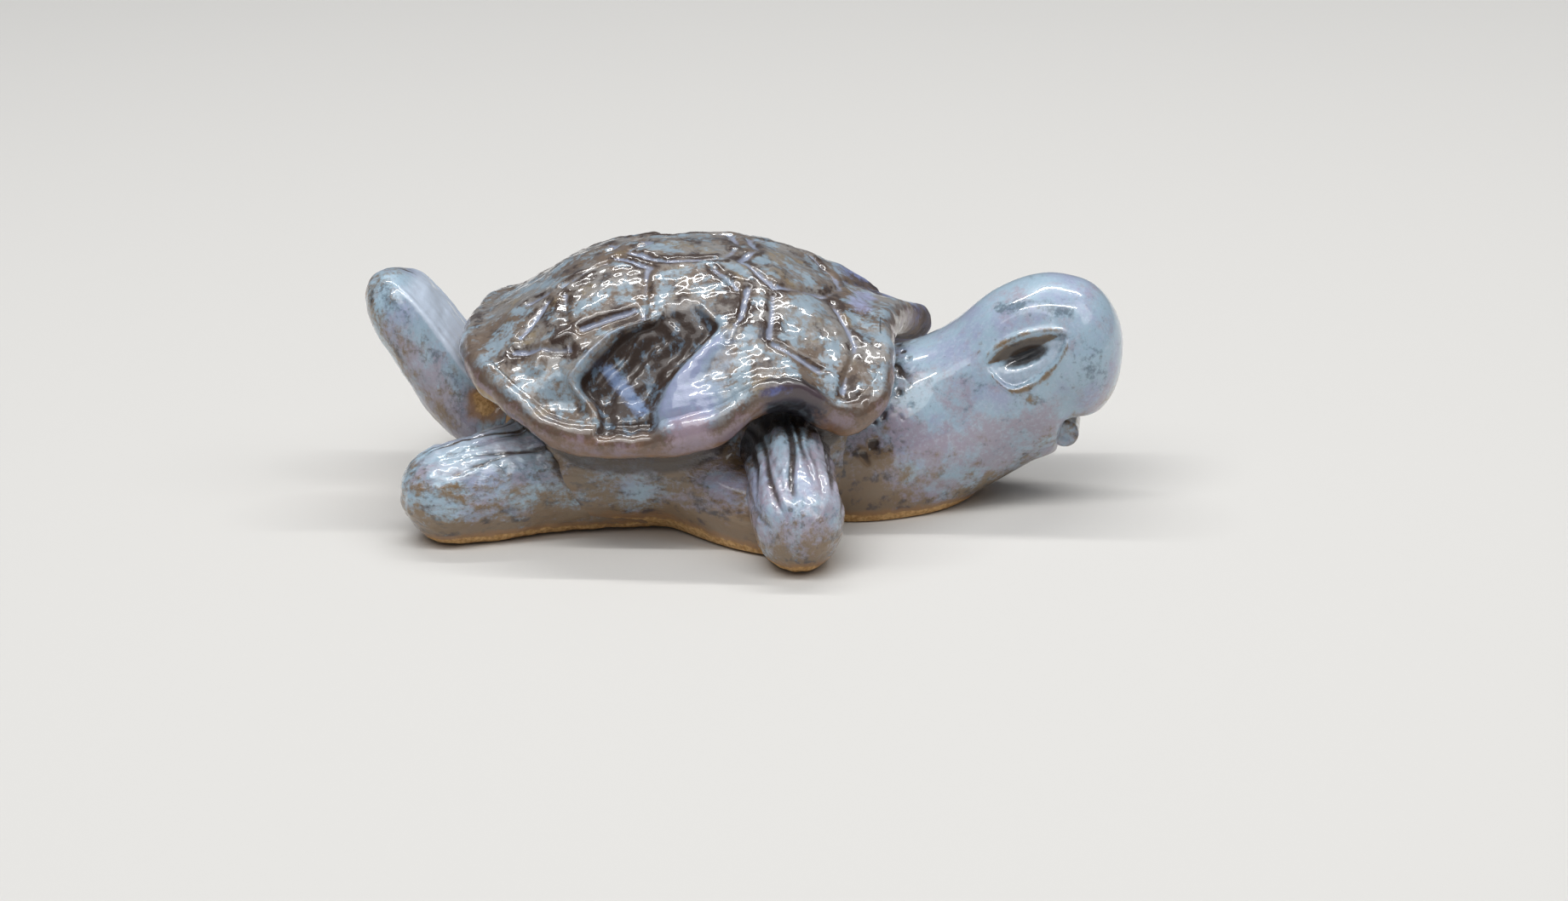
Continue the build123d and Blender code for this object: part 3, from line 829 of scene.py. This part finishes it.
# The grid runs from the tuck under the brim, round the lip and over the dome to the top
turns = np.linspace(-180, 180, 531)[:-1]
dome_bearing, dome_share = np.meshgrid(turns, np.sin(np.linspace(0.004, np.pi / 2, 160))[::-1])
top = dome(dome_bearing, dome_share)
on_top = np.zeros_like(dome_share)
lip_turn = np.linspace(0, np.pi, 21)[:-1, None]
tuck = np.linspace(1, 0, 7)[:-1, None] ** 1.5
reach, under = round_the_middle(brim_line, turns).T
arch = hump(np.abs(turns) - arch_bearing, lip_arch_spread)
setback = lip_setback * arch
lip_out = reach - lip_roll + lip_roll * np.sin(lip_turn) - setback * ramp(np.pi - lip_turn, 0.4, 2.6)
lip_up = under + (top[0, :, 2] - under) * (1 - np.cos(lip_turn)) / 2
tuck_out = reach - lip_roll - setback - lip_tuck * tuck
tuck_up = under + 2.0 * tuck**2
brim_out = np.concatenate([tuck_out, lip_out])
brim_up = np.concatenate([tuck_up, lip_up])
turn = np.radians(turns)
brim = np.stack([middle_x + brim_out * np.cos(turn), brim_out * np.sin(turn), brim_up], axis=-1)
points = np.concatenate([brim, top])
share = np.concatenate([np.ones_like(brim_out), dome_share])
bearing = np.concatenate([np.broadcast_to(turns, brim_out.shape), dome_bearing])
round_lip = 1 - np.broadcast_to(lip_turn / np.pi, lip_out.shape)
lip_share = np.concatenate([np.ones_like(tuck_out), round_lip, on_top])
brim_arch = np.concatenate([np.broadcast_to(arch, brim_out.shape), on_top])
side_bearing = np.abs(bearing)
right = np.where(points[..., 1:2] > 0, points * [1, -1, 1], points)

# Pleat between the lobes of each flank, with a fold along both of its edges and ribs inside it
girth = np.radians(1) * np.hypot(points[..., 0] - middle_x, points[..., 1])
past_rear = (through(pleat_rows, pleat_rear, np.clip(share, 0.5, 1)) - side_bearing) * girth
past_front = (side_bearing - through(pleat_rows, pleat_front, np.clip(share, 0.5, 1))) * girth
pleat_fade = ramp(share, 0.5, 0.84) * (1 - 0.45 * ramp(share, 0.92, 1)) * (1 - ramp(lip_share, 0.05, 0.6))
pleat = ramp(past_rear, 0, 1.6) * ramp(past_front, 0, 3.2) * pleat_fade
rear_fold = hump(past_rear + 0.8, 0.95) * ramp(share, 0.6, 0.7) * (1 - ramp(share, 0.93, 0.99))
front_fold = hump(past_front + 1.6, 2.4) * ramp(share, 0.66, 0.8) * (1 - ramp(share, 0.97, 1.0))
hollow = ramp(past_rear, 0, 1.2) * ramp(past_front, -0.5, 2)
hollow = hollow * ramp(share, 0.53, 0.66) * (1 - ramp(lip_share, 0.1, 0.5))
ribbed = 0.5 + 0.5 * np.sin(past_front * 1.3 + 2 * lumps(points, 9, 1.0))

# Lobes, dishes and strokes
lobe = hump(off_point(right, lobe_middle), lobe_size)
dish = hump(off_point(right, dish_middle, (0.55, 1, 1.1)), dish_size)
curl = hump(off_line(right, on_dome(curl_line)), curl_width)
ridge = hump(off_line(right, on_dome(ridge_line)), ridge_width)
off_stroke = np.minimum.reduce([off_line(right, on_dome(stroke)) for stroke in strokes])
off_stroke = off_stroke + 0.15 * lumps(points, 4.5, 2.0)
scored = hump(off_stroke, stroke_width) * np.clip(0.85 + 0.7 * lumps(points, 8, 6.0), 0, 1)
scored_outside = scored * (1 - pleat)
uneven = (
    0.45 * lumps(points, 11, 3.0) + 0.32 * lumps(points, 5.5) + 0.1 * lumps(points, 2.2, 5.0)
    + 0.06 * lumps(points, 1.6, 7.0)
)
relief = (
    uneven - pleat_depth * pleat - rib_depth * hollow * ribbed
    + rear_fold_height * rear_fold + front_fold_height * front_fold + lobe_height * lobe
    - dish_depth * dish + curl_height * curl + ridge_height * ridge - stroke_depth * scored_outside
)
relief[: len(tuck)] = 0
droop = hump(bearing - left_lobe_bearing, left_lobe_spread) * share**4
forwards = left_lobe_reach * np.stack([np.cos(turn), np.sin(turn)])
pull = np.stack([*forwards, np.full_like(turn, -left_lobe_drop)], axis=-1)
points = points + outward(points) * relief[..., None] + pull * droop[..., None]

before_pleat = hump(past_front + 8, 7) * ramp(share, 0.62, 0.8)
# Pale lilac on the lobe and the folds; on the rear fold it is a painted highlight.
pale = 0.9 * lobe + 0.8 * front_fold + 0.6 * rear_fold + 0.5 * before_pleat
front_lilac = hump(off_point(right, on_dome(lilac_place), (1, 0.6, 1)), lilac_spread)
lip_lilac = hump(bearing - lip_lilac_bearing, lip_lilac_spread) * hump(lip_share - 0.3, 0.14)
carapace = press(
    "carapace_clay", points,
    {
        "scored": scored_outside,
        "border": hump(np.abs(off_stroke) - 1.4 * stroke_width, stroke_width),
        "hollow": hollow,
        "pale": np.clip(pale, 0, 1),
        "pink": hump(off_point(right, pink_middle), pink_spread),
        "brim": lip_share,
        # Painted shade under the arches over the front legs, and the place of the cobalt patch.
        "arch": brim_arch * ramp(lip_share, 0.02, 0.2),
        "lilac": np.maximum(front_lilac, lip_lilac),
        "blade": hump(off_line(right, on_dome(blade_line)), blade_spread),
        "dusk": hump(bearing - dusk_bearing, dusk_spread) * ramp(share, 0.58, 0.8),
        "crescent": hump(lip_share - 0.1, 0.09) * brim_arch,
        "mustard": hump(side_bearing - mustard_bearing, mustard_spread) * ramp(lip_share, 0.45, 0.7),
    },
)


def shell_glaze(piece):
    """Glaze of the shell: taupe, grey and ochre broken by dark brown and streaked with blue, nearly
    black in the hollows, pale lilac on the folds and in the strokes, and rosy brown round the brim.
    Painted shade makes the brim plum to black under the arches, and the pale lilac on the rear fold
    is a painted highlight. The marks of the mesh place each of them."""
    taupe = tint(106, 90, 76)
    ash = tint(136, 132, 128)
    ochre = tint(132, 112, 74)
    bark = tint(58, 41, 31)
    steel = tint(142, 162, 176)
    soot = tint(50, 35, 26)
    rain = tint(98, 118, 136)
    iris = tint(118, 140, 178)
    mist = tint(146, 162, 182)
    mauve = tint(144, 150, 184)
    lilac = tint(156, 160, 194)
    cocoa = tint(92, 72, 58)
    tan = tint(126, 97, 76)
    rose = tint(140, 120, 128)
    caramel = tint(132, 94, 58)
    blossom = tint(162, 144, 158)
    plum = tint(72, 58, 64)
    black = tint(26, 22, 28)
    cobalt = tint(98, 106, 154)
    coffee = tint(40, 28, 24)
    grape = tint(50, 44, 56)
    violet = tint(104, 110, 150)
    mustard = tint(150, 116, 56)
    pearl = tint(142, 150, 172)
    wash = dip(piece, "carapace_glaze")
    scored, border, hollow = wash.mark("scored"), wash.mark("border"), wash.mark("hollow")
    pale, brim, arch = wash.mark("pale"), wash.mark("brim"), wash.mark("arch")
    lilac_mark, dusk = wash.mark("lilac"), wash.mark("dusk")
    breaks = wash.clouds(5, 6.0, (1, 1, 0.8), 7)
    specks = wash.clouds(1.4, 8.0, (1, 1, 1), 3)
    grit = wash.clouds(0.7, 4.0, (1, 1, 1), 2)
    fine = (grit - 0.5) * 0.25 + (specks - 0.5) * 0.3
    colour = (wash.clouds(12, 2.0) + fine).step(0.4, 0.6).over(taupe, ash)
    colour = ((wash.clouds(6, 14.0) + fine).step(0.54, 0.66) * 0.6).over(colour, ochre)
    colour = (breaks + fine + border * 0.11).step(0.5, 0.66).over(colour, bark)
    streaks = wash.clouds(5.5, 11.0, (1, 1, 1.5), 7) + fine - border * 0.12
    colour = (streaks.step(0.46, 0.6) * 0.85).over(colour, steel)
    colour = (hollow * (0.55 + breaks) + fine).step(0.3, 0.7).over(colour, soot)
    runs = wash.clouds(3.4, 3.3, (0.7, 0.7, 2.6)) + fine
    colour = (hollow * runs.step(0.5, 0.64) * 0.8).over(colour, rain)
    colour = ((wash.mark("blade") * (0.3 + breaks) + fine * 2).step(0.25, 0.75) * 0.8).over(colour, iris)
    colour = (pale * (0.2 + breaks * 1.3) + fine).step(0.3, 0.75).over(colour, mist)
    colour = ((pale * pale + fine * 3).step(0.5, 1.1) * 0.75).over(colour, mauve)
    ragged = 0.1 + breaks * 1.6
    colour = ((lilac_mark * ragged + fine * 2).step(0.35, 0.8) * 0.85).over(colour, lilac)
    band = brim + (breaks - 0.5) * 0.6 + fine
    colour = band.step(0.16, 0.4).over(colour, cocoa)
    rosy = (wash.clouds(6, 5.0) + fine).step(0.42, 0.62).over(tan, rose)
    colour = (band.step(0.34, 0.56) * 0.85).over(colour, rosy)
    colour = band.step(0.62, 0.85).over(colour, caramel)
    colour = ((wash.mark("pink") + fine * 2).step(0.2, 0.9) * 0.75).over(colour, blossom)
    # Painted shade: plum to black on the brim under the arches over the front legs.
    shadow = brim.step(0.4, 0.6).over(plum, black)
    colour = (arch * (0.4 + breaks * 1.2) + fine).step(0.4, 0.7).over(colour, shadow)
    colour = ((arch * lilac_mark * ragged + fine * 2).step(0.3, 0.75) * 0.85).over(colour, cobalt)
    colour = ((wash.mark("crescent") + fine * 2).step(0.2, 0.65) * 0.9).over(colour, coffee)
    mottle = streaks.step(0.44, 0.62).over(grape, violet)
    colour = ((dusk * (breaks * 1.3 + specks * 0.4) + fine).step(0.3, 0.95) * 0.85).over(colour, mottle)
    colour = (wash.mark("mustard") + fine).step(0.3, 0.7).over(colour, mustard)
    colour = ((scored + fine * 1.5).step(0.4, 0.85) * 0.8).over(colour, pearl)
    matt = (hollow * 0.5 + dusk).step(0.1, 0.95)
    fire(wash, colour, 0.26 + breaks * 0.1 + matt * 0.3, 1 - matt, specks * 0.5 + breaks * 0.9, 0.22)


shell_glaze(carapace)
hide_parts("carapace")

# Floor: a plain pale board that fills the view. From here on, lengths are in metres.
floor_half = 4.0
floor_mesh = bpy.data.meshes.new("floor")
corners = [(-1, -1), (1, -1), (1, 1), (-1, 1)]
floor_mesh.from_pydata([(x * floor_half, y * floor_half, 0) for x, y in corners], [], [(0, 1, 2, 3)])
floor = bpy.data.objects.new("floor", floor_mesh)
bpy.context.scene.collection.objects.link(floor)
floor_paint = bpy.data.materials.new("floor_paint")
floor_paint.use_nodes = True
paint = floor_paint.node_tree.nodes["Principled BSDF"]
paint.inputs["Base Color"].default_value = tint(206, 204, 200)
paint.inputs["Roughness"].default_value = 0.7
floor_mesh.materials.append(floor_paint)

# Light: two long strips overhead, which draw the thin bright lines on the glaze, a wide soft box
# above the viewer, a smaller one beyond the head, and a dim even room.
# Each lamp has its name, place, length, width and power
lamps = (
    ("front_strip", (0.0, -0.30, 0.92), 1.1, 0.03, 4.5),
    ("back_strip", (0.0, 0.36, 0.92), 1.1, 0.03, 5.0),
    ("soft_box", (-0.4, -1.2, 2.3), 2.2, 1.6, 24.0),
    ("side_box", (1.5, -0.5, 1.8), 1.2, 1.2, 9.0),
)
lit_point = Vector((0, 0, 0.02))
room_colour = (0.75, 0.8, 0.88, 1)
room_strength = 0.22
for name, place, long, wide, power in lamps:
    lamp = bpy.data.lights.new(name, "AREA")
    lamp.shape = "RECTANGLE"
    lamp.size = long
    lamp.size_y = wide
    lamp.energy = power
    holder = bpy.data.objects.new(name, lamp)
    holder.location = place
    holder.rotation_euler = (lit_point - Vector(place)).to_track_quat("-Z", "Y").to_euler()
    bpy.context.scene.collection.objects.link(holder)
room = bpy.data.worlds.new("room")
room.use_nodes = True
room.node_tree.nodes["Background"].inputs["Color"].default_value = room_colour
room.node_tree.nodes["Background"].inputs["Strength"].default_value = room_strength
bpy.context.scene.world = room
bpy.context.scene.view_settings.view_transform = "Standard"

# Camera: a long lens in front of the turtle's right side, a little above it and ahead of it. Its
# axes are the way back to the viewer, and right and up in the picture, turned by a slight roll.
picture_width = 1841
focal_pixels = 4623
sensor = 36.0
view_bearing = np.radians(7)
view_height = np.radians(19)
view_roll = np.radians(1.95)
view_distance = 0.7269
aim_right = 0.00678
aim_up = 0.00737
level = Vector((np.cos(view_bearing), np.sin(view_bearing), 0))
back = Vector(
    (
        np.sin(view_bearing) * np.cos(view_height),
        -np.cos(view_bearing) * np.cos(view_height),
        np.sin(view_height),
    )
)
upright = back.cross(level)
camera_right = level * np.cos(view_roll) - upright * np.sin(view_roll)
camera_up = level * np.sin(view_roll) + upright * np.cos(view_roll)
lens = bpy.data.cameras.new("camera")
lens.sensor_width = sensor
lens.lens = sensor * focal_pixels / picture_width
camera = bpy.data.objects.new("camera", lens)
turned = Matrix((camera_right, camera_up, back)).transposed().to_4x4()
stand_point = camera_right * aim_right + camera_up * aim_up + back * view_distance
camera.matrix_world = Matrix.Translation(stand_point) @ turned
bpy.context.scene.collection.objects.link(camera)
bpy.context.scene.camera = camera
